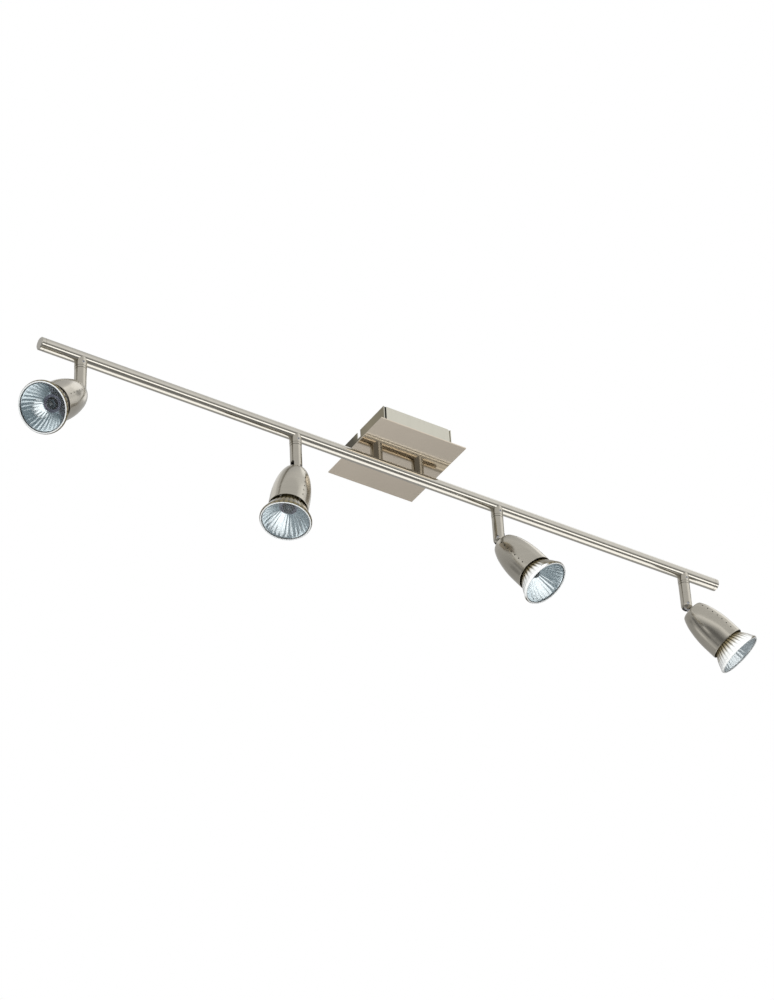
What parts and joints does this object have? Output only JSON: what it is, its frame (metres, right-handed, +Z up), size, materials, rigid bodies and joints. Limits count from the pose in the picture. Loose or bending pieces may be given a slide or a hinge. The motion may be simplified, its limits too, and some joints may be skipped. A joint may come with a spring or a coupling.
{
  "type": "bar spotlight",
  "caption": "Ceiling spotlight bar: round satin nickel bar under a square canopy plate, carrying swivelling bullet heads with twist-lock reflector lamps.",
  "frame": {"origin": "centre of the canopy in the ceiling plane, midway between the bracket's two slots", "axes": "+Z up into the ceiling, +X along the bar, +Y towards the canopy's back wall with the locking screw"},
  "size_m": [0.8327, 0.103, 0.1602],
  "materials": {
    "satin_nickel": "satin nickel plate",
    "brushed_nickel": "brushed nickel plate",
    "polished_nickel": "semi-gloss nickel plate",
    "zinc_steel": "zinc-plated steel",
    "brass": "plain brass",
    "terminal_plastic": "moulded white",
    "lead_insulation": "sleeved wire",
    "ceramic": "glazed ceramic",
    "reflector_glass": "pressed glass with dichroic coating",
    "lens_glass": "clear glass",
    "quartz": "clear quartz"
  },
  "bodies": {
    "root": {"canopy_plate": "brushed_nickel", "canopy_pan": "polished_nickel", "mounting_bracket": "zinc_steel", "lock_screw": "polished_nickel", "spacer_post_left": "satin_nickel", "spacer_post_right": "satin_nickel", "post_nuts": "zinc_steel", "terminal_block": "terminal_plastic", "terminal_screws": "brass", "earth_terminal": "zinc_steel", "bar_leads": "lead_insulation", "bar_tube": "satin_nickel", "end_cap_left": "satin_nickel", "end_cap_right": "satin_nickel", "swivel_screws": "zinc_steel", "swivel_rings": "satin_nickel", "collar_1": "satin_nickel", "collar_2": "satin_nickel", "collar_3": "satin_nickel", "collar_4": "satin_nickel"},
    "stem_1": {"stem_1": "satin_nickel", "pivot_pin_1": "zinc_steel"},
    "head_1": {"knuckle_1": "zinc_steel", "shell_1": "satin_nickel", "lamp_holder_1": "ceramic"},
    "bulb_1": {"bulb_base_1": "ceramic", "bulb_reflector_1": "reflector_glass", "bulb_lens_1": "lens_glass", "bulb_capsule_1": "quartz", "bulb_pins_1": "zinc_steel"},
    "stem_2": {"stem_2": "satin_nickel", "pivot_pin_2": "zinc_steel"},
    "head_2": {"knuckle_2": "zinc_steel", "shell_2": "satin_nickel", "lamp_holder_2": "ceramic"},
    "bulb_2": {"bulb_base_2": "ceramic", "bulb_reflector_2": "reflector_glass", "bulb_lens_2": "lens_glass", "bulb_capsule_2": "quartz", "bulb_pins_2": "zinc_steel"},
    "stem_3": {"stem_3": "satin_nickel", "pivot_pin_3": "zinc_steel"},
    "head_3": {"knuckle_3": "zinc_steel", "shell_3": "satin_nickel", "lamp_holder_3": "ceramic"},
    "bulb_3": {"bulb_base_3": "ceramic", "bulb_reflector_3": "reflector_glass", "bulb_lens_3": "lens_glass", "bulb_capsule_3": "quartz", "bulb_pins_3": "zinc_steel"},
    "stem_4": {"stem_4": "satin_nickel", "pivot_pin_4": "zinc_steel"},
    "head_4": {"knuckle_4": "zinc_steel", "shell_4": "satin_nickel", "lamp_holder_4": "ceramic"},
    "bulb_4": {"bulb_base_4": "ceramic", "bulb_reflector_4": "reflector_glass", "bulb_lens_4": "lens_glass", "bulb_capsule_4": "quartz", "bulb_pins_4": "zinc_steel"}
  },
  "joints": [
    {"name": "pan_1", "type": "hinge", "parent": "root", "child": "stem_1", "pos_m": [-0.3491, 0, -0.0805], "axis": [0, 0, 1], "range_deg": [-109.3, 240.7]},
    {"name": "tilt_1", "type": "hinge", "parent": "stem_1", "child": "head_1", "pos_m": [-0.3491, 0, -0.0805], "axis": [-0.4115, 0.9114, 0], "range_deg": [-45, 45]},
    {"name": "bulb_twist_1", "type": "hinge", "parent": "head_1", "child": "bulb_1", "pos_m": [-0.3491, 0, -0.0805], "axis": [-0.6445, -0.291, -0.7071], "range_deg": [-30, 0]},
    {"name": "pan_2", "type": "hinge", "parent": "root", "child": "stem_2", "pos_m": [-0.117, 0, -0.0805], "axis": [0, 0, 1], "range_deg": [-102.3, 247.7]},
    {"name": "tilt_2", "type": "hinge", "parent": "stem_2", "child": "head_2", "pos_m": [-0.117, 0, -0.0805], "axis": [-0.2974, 0.9548, 0], "range_deg": [-14, 76]},
    {"name": "bulb_twist_2", "type": "hinge", "parent": "head_2", "child": "bulb_2", "pos_m": [-0.117, 0, -0.0805], "axis": [-0.231, -0.0719, -0.9703], "range_deg": [-30, 0]},
    {"name": "pan_3", "type": "hinge", "parent": "root", "child": "stem_3", "pos_m": [0.117, 0, -0.0805], "axis": [0, 0, 1], "range_deg": [-217.9, 132.1]},
    {"name": "tilt_3", "type": "hinge", "parent": "stem_3", "child": "head_3", "pos_m": [0.117, 0, -0.0805], "axis": [-0.7325, -0.6807, 0], "range_deg": [-34.1, 55.9]},
    {"name": "bulb_twist_3", "type": "hinge", "parent": "head_3", "child": "bulb_3", "pos_m": [0.117, 0, -0.0805], "axis": [0.3816, -0.4107, -0.8281], "range_deg": [-30, 0]},
    {"name": "pan_4", "type": "hinge", "parent": "root", "child": "stem_4", "pos_m": [0.3491, 0, -0.0805], "axis": [0, 0, 1], "range_deg": [-243.7, 106.3]},
    {"name": "tilt_4", "type": "hinge", "parent": "stem_4", "child": "head_4", "pos_m": [0.3491, 0, -0.0805], "axis": [-0.3633, -0.9317, 0], "range_deg": [-41.5, 48.5]},
    {"name": "bulb_twist_4", "type": "hinge", "parent": "head_4", "child": "bulb_4", "pos_m": [0.3491, 0, -0.0805], "axis": [0.6174, -0.2407, -0.749], "range_deg": [-30, 0]}
  ]
}
